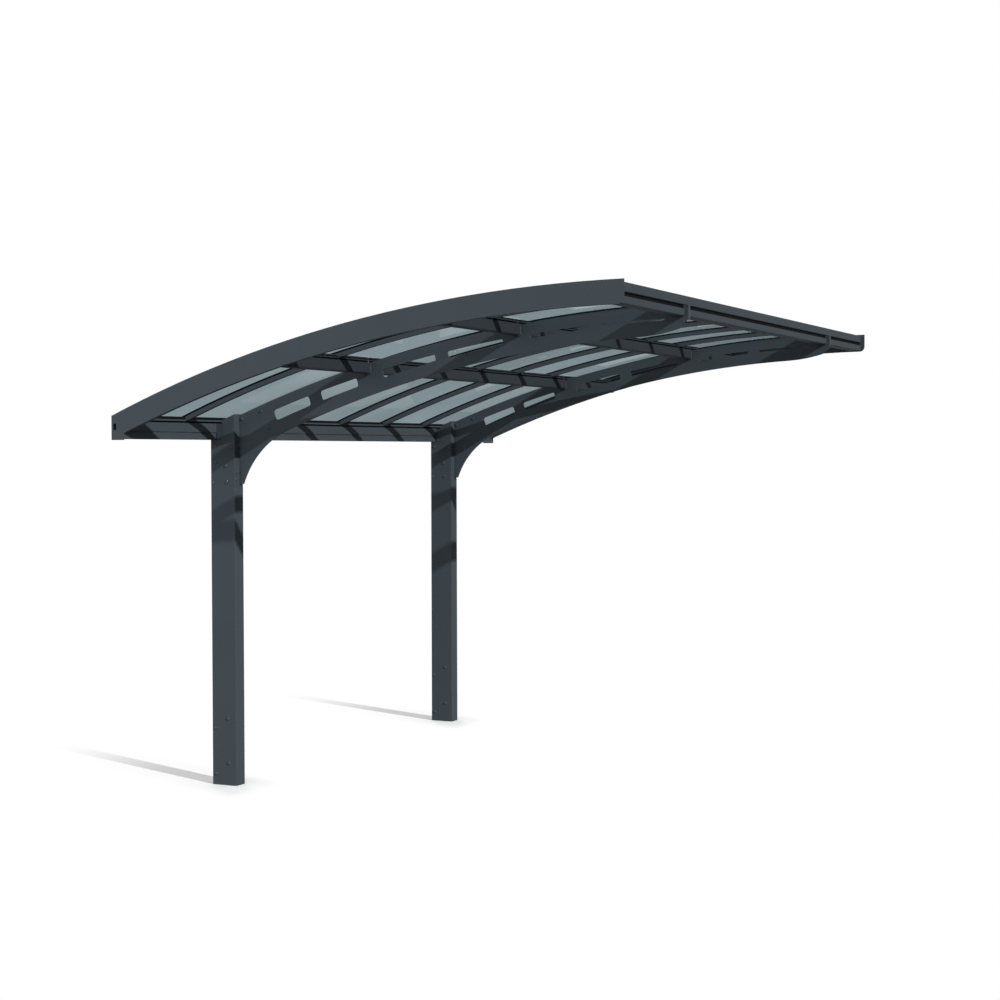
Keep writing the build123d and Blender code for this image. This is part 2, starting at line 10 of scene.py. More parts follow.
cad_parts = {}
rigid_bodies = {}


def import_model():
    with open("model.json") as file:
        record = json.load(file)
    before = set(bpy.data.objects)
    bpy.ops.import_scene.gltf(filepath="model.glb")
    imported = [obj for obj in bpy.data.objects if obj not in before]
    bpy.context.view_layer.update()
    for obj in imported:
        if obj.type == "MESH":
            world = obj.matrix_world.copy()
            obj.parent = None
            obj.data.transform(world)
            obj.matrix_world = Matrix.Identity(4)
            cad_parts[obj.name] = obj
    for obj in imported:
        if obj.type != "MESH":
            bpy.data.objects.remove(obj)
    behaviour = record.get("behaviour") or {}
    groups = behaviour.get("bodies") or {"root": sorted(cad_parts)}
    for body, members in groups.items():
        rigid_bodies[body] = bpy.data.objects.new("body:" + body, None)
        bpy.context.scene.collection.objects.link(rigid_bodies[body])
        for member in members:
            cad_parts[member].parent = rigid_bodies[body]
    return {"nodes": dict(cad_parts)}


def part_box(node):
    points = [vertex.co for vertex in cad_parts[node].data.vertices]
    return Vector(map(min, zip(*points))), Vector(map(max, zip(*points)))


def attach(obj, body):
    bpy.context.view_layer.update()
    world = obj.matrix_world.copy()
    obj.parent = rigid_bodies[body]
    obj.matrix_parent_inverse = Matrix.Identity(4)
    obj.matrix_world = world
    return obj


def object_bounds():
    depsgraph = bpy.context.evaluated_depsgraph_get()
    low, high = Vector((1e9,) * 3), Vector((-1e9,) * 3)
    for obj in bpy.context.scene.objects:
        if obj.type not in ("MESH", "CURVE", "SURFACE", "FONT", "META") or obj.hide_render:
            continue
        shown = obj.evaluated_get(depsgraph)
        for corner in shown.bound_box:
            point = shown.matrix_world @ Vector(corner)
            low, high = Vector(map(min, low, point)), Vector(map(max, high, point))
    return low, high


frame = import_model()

LOG = logging.getLogger("carport")
CAD_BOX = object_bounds()
BODY = "root"
SIDES = ("near", "far")
BARS = tuple(f"glazing_bar_{k + 1}" for k in range(7))


class Slot(Enum):
    """The record's material slots."""

    PAINT = "frame_paint"
    GALVANISED = "galvanised"
    SHEET = "roof_sheet"


class Facing(Enum):
    """The way that a fixing's head points."""

    NEAR = (0.0, -1.0, 0.0)
    FAR = (0.0, 1.0, 0.0)
    FREE_SIDE = (1.0, 0.0, 0.0)


class Value:
    """A number that a shader works out, written as a Python expression."""

    def __init__(self, graph: "Graph", socket: bpy.types.NodeSocket) -> None:
        """Wrap an output socket.

        Args:
            graph: The graph that holds the socket.
            socket: The output to wrap.
        """
        self.graph = graph
        self.socket = socket

    def _math(self, operation: str, first: object, second: object) -> "Value":
        """Add one Math node and wrap its result."""
        node = self.graph.node("ShaderNodeMath", {"operation": operation}, {0: first, 1: second})
        return Value(self.graph, node.outputs[0])

    def __add__(self, other: object) -> "Value":
        """Return the sum."""
        return self._math("ADD", self, other)

    __radd__ = __add__

    def __sub__(self, other: object) -> "Value":
        """Return the difference."""
        return self._math("SUBTRACT", self, other)

    def __rsub__(self, other: object) -> "Value":
        """Return the difference, the other way round."""
        return self._math("SUBTRACT", other, self)

    def __mul__(self, other: object) -> "Value":
        """Return the product."""
        return self._math("MULTIPLY", self, other)

    __rmul__ = __mul__

    def size(self) -> "Value":
        """Return the number without its sign."""
        return self._math("ABSOLUTE", self, 0.0)

    def at_least(self, other: object) -> "Value":
        """Return the larger of the two."""
        return self._math("MAXIMUM", self, other)

    def at_most(self, other: object) -> "Value":
        """Return the smaller of the two."""
        return self._math("MINIMUM", self, other)

    def ramp(self, low: float, high: float) -> "Value":
        """Return 0 below low, 1 above high and a smooth rise between.

        Args:
            low: Where the rise starts.
            high: Where it ends.

        Returns:
            The share, from 0 to 1.
        """
        settings = {"interpolation_type": "SMOOTHSTEP"}
        node = self.graph.node("ShaderNodeMapRange", settings, {0: self, 1: low, 2: high})
        return Value(self.graph, node.outputs[0])


class Graph:
    """A shader's nodes, each added by one method."""

    def __init__(self, tree: bpy.types.NodeTree) -> None:
        """Start with an empty tree.

        Args:
            tree: The material's or world's tree.
        """
        self.tree = tree
        tree.nodes.clear()

    def node(self, kind: str, settings: dict | None = None, values: dict | None = None) -> bpy.types.Node:
        """Add a node.

        Args:
            kind: The node's type.
            settings: Its own settings, set first.
            values: What its inputs get, by name or number: a number, a colour, a socket or a Value.

        Returns:
            The node.
        """
        made = self.tree.nodes.new(kind)
        for name, value in (settings or {}).items():
            setattr(made, name, value)
        for key, value in (values or {}).items():
            self.feed(made.inputs[key], value)
        return made

    def feed(self, socket: bpy.types.NodeSocket, value: object) -> None:
        """Link a value to an input, or set it there.

        Args:
            socket: The input.
            value: A number, a colour, a socket or a Value.
        """
        if isinstance(value, Value):
            value = value.socket
        if isinstance(value, bpy.types.NodeSocket):
            self.tree.links.new(value, socket)
        else:
            socket.default_value = value

    def place(self) -> bpy.types.NodeSocket:
        """Return the piece's own coordinates."""
        return self.node("ShaderNodeTexCoord").outputs["Object"]

    def noise(self, scale: float, detail: float = 2.0, stretch: tuple | None = None) -> Value:
        """Return a noise over the piece.

        Args:
            scale: How many grains to a metre.
            detail: How many finer layers are added.
            stretch: A scale along each axis, or none.

        Returns:
            The noise, from 0 to 1.
        """
        where = self.place()
        if stretch is not None:
            where = self.node("ShaderNodeMapping", None, {"Vector": where, "Scale": stretch}).outputs[0]
        values = {"Vector": where, "Scale": scale, "Detail": detail}
        return Value(self, self.node("ShaderNodeTexNoise", None, values).outputs["Fac"])

    def mix(self, share: object, first: tuple, second: tuple) -> bpy.types.NodeSocket:
        """Return a mix of two colours.

        Args:
            share: How much of the second.
            first: A colour.
            second: A colour.

        Returns:
            The mixed colour.
        """
        values = {0: share, 6: (*first, 1.0), 7: (*second, 1.0)}
        return self.node("ShaderNodeMix", {"data_type": "RGBA"}, values).outputs[2]

    def bump(self, height: Value, distance: float, strength: float = 1.0) -> bpy.types.NodeSocket:
        """Return a normal bent by a height.

        Args:
            height: The height, from 0 to 1.
            distance: What a height of 1 measures, in metres.
            strength: How much of it shows.

        Returns:
            The normal.
        """
        values = {"Height": height, "Distance": distance, "Strength": strength}
        return self.node("ShaderNodeBump", None, values).outputs[0]

    def ray(self, *kinds: str, straight: bool = False) -> Value:
        """Return 1 for rays of these kinds, and 0 for others.

        Args:
            kinds: Names of Light Path outputs.
            straight: Whether rays that a matt surface has scattered are left out.

        Returns:
            The share, 0 or 1.
        """
        path = self.node("ShaderNodeLightPath")
        total = Value(self, path.outputs[kinds[0]])
        for kind in kinds[1:]:
            total = total.at_least(Value(self, path.outputs[kind]))
        if straight:
            total = total * (1.0 - Value(self, path.outputs["Diffuse Depth"]).at_most(1.0))
        return total


def new_material(name: str) -> tuple[bpy.types.Material, Graph]:
    """Make an empty material.

    Args:
        name: Its name.

    Returns:
        The material and its graph.
    """
    material = bpy.data.materials.new(name)
    material.use_nodes = True
    return material, Graph(material.node_tree)


def tinted(colour: tuple, share: float) -> tuple:
    """Return a colour made lighter or darker by a share."""
    return tuple(min(1.0, part * (1.0 + share)) for part in colour)


@dataclass(frozen=True)
class PowderCoat:
    """Matt powder coat with a fine even grain."""

    name: str
    colour: tuple
    roughness: float = 0.62
    specular: float = 0.015
    roughness_spread: float = 0.1
    clouding: float = 0.05
    cloud_scale: float = 1.6
    cloud_range: tuple = (0.25, 0.75)
    fleck_share: float = 0.3
    grain: float = 1400.0
    grain_height: float = 0.00004
    ripple: float = 90.0
    ripple_height: float = 0.00012
    bump_strength: float = 0.5

    def material(self) -> bpy.types.Material:
        """Return the coat as a material."""
        material, graph = new_material(self.name)
        cloud = graph.noise(self.cloud_scale, 3.0)
        fleck = graph.noise(self.grain, 1.0)
        share = cloud * (1.0 - self.fleck_share) + fleck * self.fleck_share
        colour = graph.mix(share.ramp(*self.cloud_range), tinted(self.colour, -self.clouding),
                           tinted(self.colour, self.clouding))
        height = fleck * (self.grain_height / self.ripple_height) + graph.noise(self.ripple, 1.0)
        shader = graph.node("ShaderNodeBsdfPrincipled", None, {
            "Base Color": colour,
            "Roughness": (cloud - 0.5) * self.roughness_spread + self.roughness,
            "Specular IOR Level": self.specular,
            "Normal": graph.bump(height, self.ripple_height, self.bump_strength),
        })
        graph.node("ShaderNodeOutputMaterial", None, {0: shader.outputs[0]})
        return material


@dataclass(frozen=True)
class ClearSheet:
    """Tinted clear sheet. Lamps and scattered light pass it with a lighter tint than the eye sees."""

    name: str
    colour: tuple
    lamp_tint: tuple
    bending: float = 1.02
    roughness: float = 0.01
    clouding: float = 0.12
    cloud_scale: float = 0.9
    cloud_range: tuple = (0.3, 0.7)
    flow: float = 26.0
    flow_stretch: tuple = (0.06, 1.0, 0.06)
    flow_height: float = 0.0002
    bump_strength: float = 0.4
    passing_kinds: tuple = ("Is Shadow Ray", "Is Diffuse Ray")

    def material(self) -> bpy.types.Material:
        """Return the sheet as a material."""
        material, graph = new_material(self.name)
        streak = graph.noise(self.flow, 2.0, self.flow_stretch)
        cloud = graph.noise(self.cloud_scale, 2.0)
        colour = graph.mix(cloud.ramp(*self.cloud_range), tinted(self.colour, -self.clouding),
                           tinted(self.colour, self.clouding))
        shader = graph.node("ShaderNodeBsdfPrincipled", None, {
            "Base Color": colour,
            "Roughness": (streak - 0.5) * self.roughness + self.roughness,
            "IOR": self.bending,
            "Transmission Weight": 1.0,
            "Normal": graph.bump(streak, self.flow_height, self.bump_strength),
        })
        open_way = graph.node("ShaderNodeBsdfTransparent", None, {0: (*self.lamp_tint, 1.0)})
        mixed = graph.node("ShaderNodeMixShader", None, {
            0: graph.ray(*self.passing_kinds), 1: shader.outputs[0], 2: open_way.outputs[0]})
        graph.node("ShaderNodeOutputMaterial", None, {0: mixed.outputs[0]})
        return material


@dataclass(frozen=True)
class Galvanised:
    """Hot-dipped zinc with its spangle."""

    name: str
    colour: tuple
    spangle: float = 70.0
    darkest: float = -0.18
    lightest: float = 0.12
    roughness: float = 0.42
    roughness_spread: float = 0.16
    relief: float = 0.00006
    bump_strength: float = 0.5

    def material(self) -> bpy.types.Material:
        """Return the zinc as a material."""
        material, graph = new_material(self.name)
        cells = graph.node("ShaderNodeTexVoronoi", None, {"Vector": graph.place(), "Scale": self.spangle})
        tone = Value(graph, graph.node("ShaderNodeSeparateColor", None, {0: cells.outputs["Color"]}).outputs[0])
        shader = graph.node("ShaderNodeBsdfPrincipled", None, {
            "Base Color": graph.mix(tone, tinted(self.colour, self.darkest), tinted(self.colour, self.lightest)),
            "Roughness": tone * self.roughness_spread + self.roughness,
            "Metallic": 1.0,
            "Normal": graph.bump(tone, self.relief, self.bump_strength),
        })
        graph.node("ShaderNodeOutputMaterial", None, {0: shader.outputs[0]})
        return material


@dataclass(frozen=True)
class Rubber:
    """Black sealing rubber, whose black also serves as painted shade in recesses."""

    name: str
    colour: tuple
    roughness: float = 0.75
    roughness_spread: float = 0.15
    specular: float = 0.02
    bloom_scale: float = 14.0
    bloom_range: tuple = (0.3, 0.8)
    bloom_share: float = 0.6
    grain: float = 900.0
    grain_height: float = 0.00005
    bump_strength: float = 0.5

    def material(self) -> bpy.types.Material:
        """Return the rubber as a material."""
        material, graph = new_material(self.name)
        bloom = graph.noise(self.bloom_scale, 3.0)
        shader = graph.node("ShaderNodeBsdfPrincipled", None, {
            "Base Color": graph.mix(bloom.ramp(*self.bloom_range), self.colour,
                                    tinted(self.colour, self.bloom_share)),
            "Roughness": (bloom - 0.5) * self.roughness_spread + self.roughness,
            "Specular IOR Level": self.specular,
            "Normal": graph.bump(graph.noise(self.grain, 1.0), self.grain_height, self.bump_strength),
        })
        graph.node("ShaderNodeOutputMaterial", None, {0: shader.outputs[0]})
        return material


# The purlins and the eave beam stand in shade in the photograph, and their coats are written darker to match.
COAT = PowderCoat("anthracite_powder_coat", (0.050, 0.062, 0.072))
PURLIN_SHADED_COAT = PowderCoat("purlin_coat_with_painted_shade", (0.029, 0.035, 0.041))
EAVE_SHADED_COAT = PowderCoat("eave_coat_with_painted_shade", (0.041, 0.051, 0.059))
SCREW_COAT = PowderCoat("coated_screw_heads", (0.050, 0.060, 0.070), roughness=0.5, specular=0.25)
CLEAR = ClearSheet("tinted_clear_sheet", (0.225, 0.285, 0.305), (0.95, 0.96, 0.96))
ZINC = Galvanised("galvanised_steel", (0.56, 0.57, 0.58))
# The same black makes the real seals and gaskets, and the strips of painted shade under the gutter rail's rib
# and in the eave beam's groove.
SEAL_AND_SHADE_BLACK = Rubber("black_seal_and_painted_shade", (0.005, 0.0055, 0.006))


class GeometryTree:
    """A Geometry Nodes tree built in code, and run to give a plain mesh."""

    def __init__(self, name: str, sizes: dict[str, float]) -> None:
        """Start a tree with a geometry input, named size inputs and a material input.

        Args:
            name: The tree's name.
            sizes: Each size input and the value it starts with, in metres.
        """
        self.sizes = sizes
        self.tree = bpy.data.node_groups.new(name, "GeometryNodeTree")
        face = self.tree.interface
        face.new_socket("Geometry", in_out="INPUT", socket_type="NodeSocketGeometry")
        self.ids = {}
        for label, size in sizes.items():
            socket = face.new_socket(label, in_out="INPUT", socket_type="NodeSocketFloat")
            socket.default_value = size
            self.ids[label] = socket.identifier
        finish = face.new_socket("Finish", in_out="INPUT", socket_type="NodeSocketMaterial")
        self.ids["Finish"] = finish.identifier
        face.new_socket("Geometry", in_out="OUTPUT", socket_type="NodeSocketGeometry")
        self.source = self.tree.nodes.new("NodeGroupInput")

    def node(self, kind: str, settings: dict | None = None, values: dict | None = None) -> bpy.types.Node:
        """Add a node.

        Args:
            kind: The node's type.
            settings: Its own settings, set first.
            values: What its inputs get, by name or number: a value or a socket.

        Returns:
            The node.
        """
        made = self.tree.nodes.new(kind)
        for name, value in (settings or {}).items():
            setattr(made, name, value)
        for key, value in (values or {}).items():
            if isinstance(value, bpy.types.NodeSocket):
                self.tree.links.new(value, made.inputs[key])
            else:
                made.inputs[key].default_value = value
        return made

    def scaled(self, label: str, share: float) -> bpy.types.NodeSocket:
        """Return a size input times a share.

        Args:
            label: The input's name.
            share: What it is multiplied by.

        Returns:
            The product.
        """
        values = {0: self.source.outputs[label], 1: share}
        return self.node("ShaderNodeMath", {"operation": "MULTIPLY"}, values).outputs[0]

    def close(self, geometry: bpy.types.NodeSocket) -> None:
        """End the tree with Realize Instances and Set Material.

        Args:
            geometry: What the tree has made.
        """
        real = self.node("GeometryNodeRealizeInstances", None, {0: geometry})
        dressed = self.node("GeometryNodeSetMaterial", None, {
            "Geometry": real.outputs[0], "Material": self.source.outputs["Finish"]})
        self.node("NodeGroupOutput", None, {0: dressed.outputs[0]})

    def run(self, name: str, base: bpy.types.Mesh, finish: bpy.types.Material) -> bpy.types.Object:
        """Run the tree on a mesh.

        Args:
            name: The new piece's name.
            base: The mesh that the tree starts from.
            finish: Its material.

        Returns:
            A plain mesh object at the origin, with no modifier.
        """
        carrier = bpy.data.objects.new(name + "_base", base)
        bpy.context.scene.collection.objects.link(carrier)
        modifier = carrier.modifiers.new("tree", "NODES")
        modifier.node_group = self.tree
        modifier[self.ids["Finish"]] = finish
        for label, size in self.sizes.items():
            modifier[self.ids[label]] = size
        graph = bpy.context.evaluated_depsgraph_get()
        mesh = bpy.data.meshes.new_from_object(carrier.evaluated_get(graph), depsgraph=graph)
        mesh.name = name
        carrier.modifiers.remove(modifier)
        bpy.data.objects.remove(carrier)
        piece = bpy.data.objects.new(name, mesh)
        bpy.context.scene.collection.objects.link(piece)
        return piece


def hand_in(piece: bpy.types.Object) -> None:
    """Let a finished piece ride on the carport's body.

    Args:
        piece: The piece.
    """
    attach(piece, BODY)
    LOG.info("%s: %d faces", piece.name, len(piece.data.polygons))


def dress(node: str, finish: bpy.types.Material) -> None:
    """Give a CAD node a better material.

    Args:
        node: The node's name.
        finish: The material.
    """
    piece = frame["nodes"][node]
    piece.data.materials.clear()
    piece.data.materials.append(finish)
    LOG.info("%s: %s", node, finish.name)


@dataclass
class Arch:
    """The roof's arch, seen along the gutter. Sizes are in metres."""

    radius: float = 8.17
    apex_past_rim: float = 0.05
    low_rim_height: float = 2.286
    low_x: float = CAD_BOX[0].x
    rim_run: float = 3.164

    @property
    def apex_x(self) -> float:
        """Return the x at which the arch would peak."""
        return self.low_x + self.rim_run + self.apex_past_rim

    @property
    def centre_z(self) -> float:
        """Return the height of the arch's centre."""
        return self.low_rim_height - math.sqrt(self.radius ** 2 - (self.apex_x - self.low_x) ** 2)

    def height(self, x: float, depth: float) -> float:
        """Return the height at x, a depth below the rims' top edge.

        Args:
            x: The place along the run.
            depth: The depth below the rims' top edge.

        Returns:
            The height above the ground.
        """
        return self.centre_z + math.sqrt((self.radius - depth) ** 2 - (self.apex_x - x) ** 2)

    def tilt(self, x: float) -> float:
        """Return the roof's tilt at x, in radians."""
        return math.asin((self.apex_x - x) / self.radius)

    def point(self, x: float, y: float, depth: float) -> tuple[float, float, float]:
        """Return the point a depth straight in from the rims' top edge above x.

        Args:
            x: The place of the top edge along the run.
            y: The place along the gutter.
            depth: The depth, square to the roof.

        Returns:
            The point.
        """
        angle = self.tilt(x)
        reach = self.radius - depth
        return self.apex_x - reach * math.sin(angle), y, self.centre_z + reach * math.cos(angle)


ARCH = Arch()


@dataclass
class Frame:
    """The painted aluminium frame, all of it made in CAD."""

    prefixes: tuple = ("post", "post_head", "girder", "purlin_cleats", "gutter_angle", "rim", "gutter_end")
    purlins: tuple = ("lower_purlin", "upper_purlin")
    purlin_lengths: tuple = ("near", "middle", "far")

    def coats(self) -> dict[PowderCoat, list[str]]:
        """Return the nodes that each coat goes on."""
        plain = [f"{side}_{name}" for side in SIDES for name in self.prefixes]
        plain += ["gutter", *BARS]
        purlins = [f"{name}_{length}" for name in self.purlins for length in self.purlin_lengths]
        return {COAT: plain, PURLIN_SHADED_COAT: purlins, EAVE_SHADED_COAT: ["eave_beam"]}

    def dress(self) -> None:
        """Paint every node of the frame."""
        for coat, names in self.coats().items():
            finish = coat.material()
            for name in names:
                dress(name, finish)


@dataclass
class RoofSheets:
    """The eight curved clear sheets."""

    count: int = 8

    def dress(self) -> None:
        """Give the sheets their tint."""
        clear = CLEAR.material()
        for k in range(self.count):
            dress(f"roof_sheet_{k + 1}", clear)


@dataclass
class Feet:
    """The two anchor feet inside the posts."""

    def dress(self) -> None:
        """Galvanise both feet."""
        zinc = ZINC.material()
        for side in SIDES:
            dress(f"{side}_foot", zinc)


@dataclass
class Fixing:
    """One screw: where its head sits and which way it points."""

    place: tuple
    facing: Facing


@dataclass
class Screws:
    """Domed screw heads on the posts, the heads and the girders. Sizes are in metres."""

    radius: float = 0.010
    height: float = 0.008
    sides: int = 20
    dome: tuple = ((0.22, 1.0), (0.25, 0.93), (0.25, 0.82), (0.20, 0.68))
    recess_share: float = 0.52
    recess_depth: float = 0.45
    foot_screws: tuple = ((0.118, 0.418), (0.021, 0.353), (0.120, 0.140), (0.027, 0.068))
    head_screws: tuple = ((0.031, 2.113), (0.149, 2.107), (0.038, 2.014), (0.111, 1.989),
                          (0.015, 1.883), (0.118, 1.890))
    head_side_screws: tuple = ((0.030, 1.951), (0.016, 1.908))
    girder_screws: tuple = ((0.195, 2.281), (0.334, 2.328), (0.391, 2.223))

    def tree(self) -> GeometryTree:
        """Return the tree that puts a head on each point."""
        tree = GeometryTree("screw_heads", {"Head Radius": self.radius, "Head Height": self.height})
        disc = tree.node("GeometryNodeMeshCircle", {"fill_type": "NGON"}, {
            "Vertices": self.sides, "Radius": tree.source.outputs["Head Radius"]})
        back = tree.node("GeometryNodeFlipFaces", None, {0: disc.outputs[0]})
        mesh, top, last = disc.outputs[0], None, 1.0
        steps = [(rise, width) for rise, width in self.dome]
        steps += [(0.0, self.recess_share), (-self.recess_depth, self.recess_share * 0.9)]
        for rise, width in steps:
            values = {"Mesh": mesh, "Individual": False, "Offset": (0.0, 0.0, 1.0),
                      "Offset Scale": tree.scaled("Head Height", rise)}
            if top is not None:
                values["Selection"] = top
            raised = tree.node("GeometryNodeExtrudeMesh", {"mode": "FACES"}, values)
            top = raised.outputs["Top"]
            shrunk = tree.node("GeometryNodeScaleElements", None, {
                "Geometry": raised.outputs[0], "Selection": top, "Scale": width / last})
            mesh, last = shrunk.outputs[0], width
        whole = tree.node("GeometryNodeJoinGeometry", None, {0: mesh})
        tree.tree.links.new(back.outputs[0], whole.inputs[0])
        head = tree.node("GeometryNodeMergeByDistance", None, {"Geometry": whole.outputs[0], "Distance": 1e-5})
        facing = tree.node("GeometryNodeInputNamedAttribute", {"data_type": "FLOAT_VECTOR"}, {"Name": "facing"})
        turn = tree.node("FunctionNodeAlignRotationToVector", {"axis": "Z"}, {
            "Vector": facing.outputs["Attribute"]})
        points = tree.node("GeometryNodeMeshToPoints", None, {0: tree.source.outputs["Geometry"]})
        placed = tree.node("GeometryNodeInstanceOnPoints", None, {
            "Points": points.outputs[0], "Instance": head.outputs[0], "Rotation": turn.outputs[0]})
        tree.close(placed.outputs[0])
        return tree

    def post_fixings(self, side: str) -> list[Fixing]:
        """Return the screws on a post's two wide faces.

        Args:
            side: Which post.

        Returns:
            The fixings.
        """
        low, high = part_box(f"{side}_post")
        found = []
        for along, height in self.foot_screws + self.head_screws:
            found.append(Fixing((low.x + along, low.y, height), Facing.NEAR))
            found.append(Fixing((low.x + along, high.y, height), Facing.FAR))
        return found

    def side_fixings(self, side: str) -> list[Fixing]:
        """Return the screws on a head's narrow face below the girder.

        Args:
            side: Which post.

        Returns:
            The fixings.
        """
        low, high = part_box(f"{side}_post")
        return [Fixing((high.x, low.y + along, height), Facing.FREE_SIDE)
                for along, height in self.head_side_screws]

    def girder_fixings(self, side: str) -> list[Fixing]:
        """Return the screws through a girder's root.

        Args:
            side: Which girder.

        Returns:
            The fixings.
        """
        low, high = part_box(f"{side}_girder")
        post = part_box(f"{side}_post")[0]
        found = []
        for along, height in self.girder_screws:
            found.append(Fixing((post.x + along, low.y, height), Facing.NEAR))
            found.append(Fixing((post.x + along, high.y, height), Facing.FAR))
        return found

    def build(self) -> None:
        """Make the screw heads, one piece for each group and side."""
        tree = self.tree()
        finish = SCREW_COAT.material()
        groups = {"post_screws": self.post_fixings, "head_side_screws": self.side_fixings,
                  "girder_screws": self.girder_fixings}
        for side in SIDES:
            for name, find in groups.items():
                base = points_mesh(name, find(side))
                hand_in(tree.run(f"{side}_{name}", base, finish))


def points_mesh(name: str, fixings: list[Fixing]) -> bpy.types.Mesh:
    """Return a mesh of loose points, each with the way it faces.

    Args:
        name: The mesh's name.
        fixings: Where the points are and which way they face.

    Returns:
        The mesh.
    """
    mesh = bpy.data.meshes.new(name)
    mesh.from_pydata([fixing.place for fixing in fixings], [], [])
    facing = mesh.attributes.new("facing", "FLOAT_VECTOR", "POINT")
    for k, fixing in enumerate(fixings):
        facing.data[k].vector = fixing.facing.value
    return mesh


@dataclass
class Seals:
    """Rubber lips under the glazing bars' caps, on the sheets. Sizes are in metres."""

    radius: float = 0.0016
    steps: int = 40
    sheet_top: float = 0.0235
    cap_width: float = 0.040
    ends_in: float = 0.004

    def tree(self) -> GeometryTree:
        """Return the tree that sweeps a round lip along each line."""
        tree = GeometryTree("seal_lips", {"Lip Radius": self.radius})
        curve = tree.node("GeometryNodeMeshToCurve", None, {0: tree.source.outputs["Geometry"]})
        ring = tree.node("GeometryNodeCurvePrimitiveCircle", None, {
            "Resolution": 6, "Radius": tree.source.outputs["Lip Radius"]})
        swept = tree.node("GeometryNodeCurveToMesh", None, {
            "Curve": curve.outputs[0], "Profile Curve": ring.outputs[0], "Fill Caps": True})
        tree.close(swept.outputs[0])
        return tree

    def lines(self, bar: str) -> bpy.types.Mesh:
        """Return a bar's two lip lines.

        Args:
            bar: The bar's node.

        Returns:
            A mesh of edges.
        """
        low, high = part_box(bar)
        middle = (low.y + high.y) / 2
        first, last = low.x + self.ends_in, high.x - self.ends_in
        points, edges = [], []
        for way in (-1, 1):
            start = len(points)
            for k in range(self.steps + 1):
                x = first + (last - first) * k / self.steps
                points.append(ARCH.point(x, middle + way * self.cap_width / 2, self.sheet_top))
            edges += [(start + k, start + k + 1) for k in range(self.steps)]
        mesh = bpy.data.meshes.new(bar + "_lips")
        mesh.from_pydata(points, edges, [])
        return mesh

    def build(self) -> None:
        """Make the lips of every bar."""
        tree = self.tree()
        finish = SEAL_AND_SHADE_BLACK.material()
        for k, bar in enumerate(BARS):
            hand_in(tree.run(f"bar_seals_{k + 1}", self.lines(bar), finish))


def prism(outline: list[tuple], y0: float, y1: float, mesh_data: tuple[list, list]) -> None:
    """Add a closed bar of an (x, z) outline between two places along the gutter.

    Args:
        outline: The section's corners, anticlockwise with x to the right and z up.
        y0: Where the bar starts.
        y1: Where it ends.
        mesh_data: The lists of points and faces that the bar is added to.
    """
    points, faces = mesh_data
    start, count = len(points), len(outline)
    for y in (y0, y1):
        points += [(x, y, z) for x, z in outline]
    faces.append([start + k for k in range(count)])
    faces.append([start + count + k for k in reversed(range(count))])
    for k in range(count):
        ahead = (k + 1) % count
        faces.append([start + ahead, start + k, start + count + k, start + count + ahead])


def plain_piece(name: str, mesh_data: tuple[list, list], finish: bpy.types.Material) -> bpy.types.Object:
    """Return an object made of points and faces, at the origin.

    Args:
        name: The piece's name.
        mesh_data: Its points and faces.
        finish: Its material.

    Returns:
        The object.
    """
    mesh = bpy.data.meshes.new(name)
    mesh.from_pydata(mesh_data[0], [], mesh_data[1])
    mesh.materials.append(finish)
    piece = bpy.data.objects.new(name, mesh)
    bpy.context.scene.collection.objects.link(piece)
    return piece


